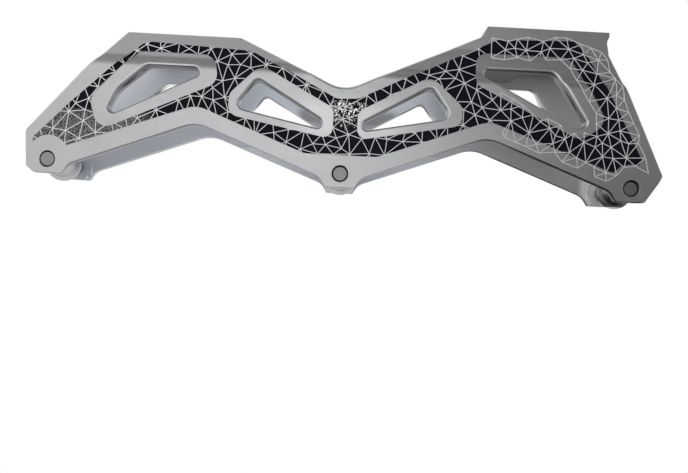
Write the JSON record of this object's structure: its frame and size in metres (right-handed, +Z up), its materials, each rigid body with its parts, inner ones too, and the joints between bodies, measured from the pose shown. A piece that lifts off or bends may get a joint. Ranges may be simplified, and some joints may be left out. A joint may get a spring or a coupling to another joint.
{
  "type": "inline skate frame",
  "caption": "Long twin-wall inline skate frame with a low front deck, a raised heel deck, pierced side walls, removable axle bolts and flanged bearing spacers.",
  "frame": {"origin": "centre of the front bolt slot, on the top of the front deck", "axes": "+X to the heel, +Y to the side the axle heads are on, +Z up to the boot; the printed wall faces -Y"},
  "size_m": [0.2802, 0.04, 0.0763],
  "materials": {
    "frame_metal": "satin anodised",
    "print_film": "printed pattern of pale lines on black",
    "axle_steel": "turned and plated",
    "thread_lock": "dry thread-lock patch",
    "spacer_steel": "turned and plated"
  },
  "bodies": {
    "frame": {"frame_body": "frame_metal", "side_print": "print_film"},
    "front_axle_bolt": {"front_axle": "axle_steel", "front_thread_patch": "thread_lock"},
    "front_bearing_spacer": {"front_spacer": "spacer_steel"},
    "middle_axle_bolt": {"middle_axle": "axle_steel", "middle_thread_patch": "thread_lock"},
    "middle_bearing_spacer": {"middle_spacer": "spacer_steel"},
    "rear_axle_bolt": {"rear_axle": "axle_steel", "rear_thread_patch": "thread_lock"},
    "rear_bearing_spacer": {"rear_spacer": "spacer_steel"}
  },
  "joints": [
    {"name": "front_axle_draw", "type": "slide", "parent": "frame", "child": "front_axle_bolt", "axis": [0, 1, 0], "range_m": [0, 0.045]},
    {"name": "front_spacer_slide", "type": "slide", "parent": "frame", "child": "front_bearing_spacer", "axis": [0, 1, 0], "range_m": [-0.007, 0.007]},
    {"name": "middle_axle_draw", "type": "slide", "parent": "frame", "child": "middle_axle_bolt", "axis": [0, 1, 0], "range_m": [0, 0.045]},
    {"name": "middle_spacer_slide", "type": "slide", "parent": "frame", "child": "middle_bearing_spacer", "axis": [0, 1, 0], "range_m": [-0.007, 0.007]},
    {"name": "rear_axle_draw", "type": "slide", "parent": "frame", "child": "rear_axle_bolt", "axis": [0, 1, 0], "range_m": [0, 0.045]},
    {"name": "rear_spacer_slide", "type": "slide", "parent": "frame", "child": "rear_bearing_spacer", "axis": [0, 1, 0], "range_m": [-0.007, 0.007]}
  ]
}
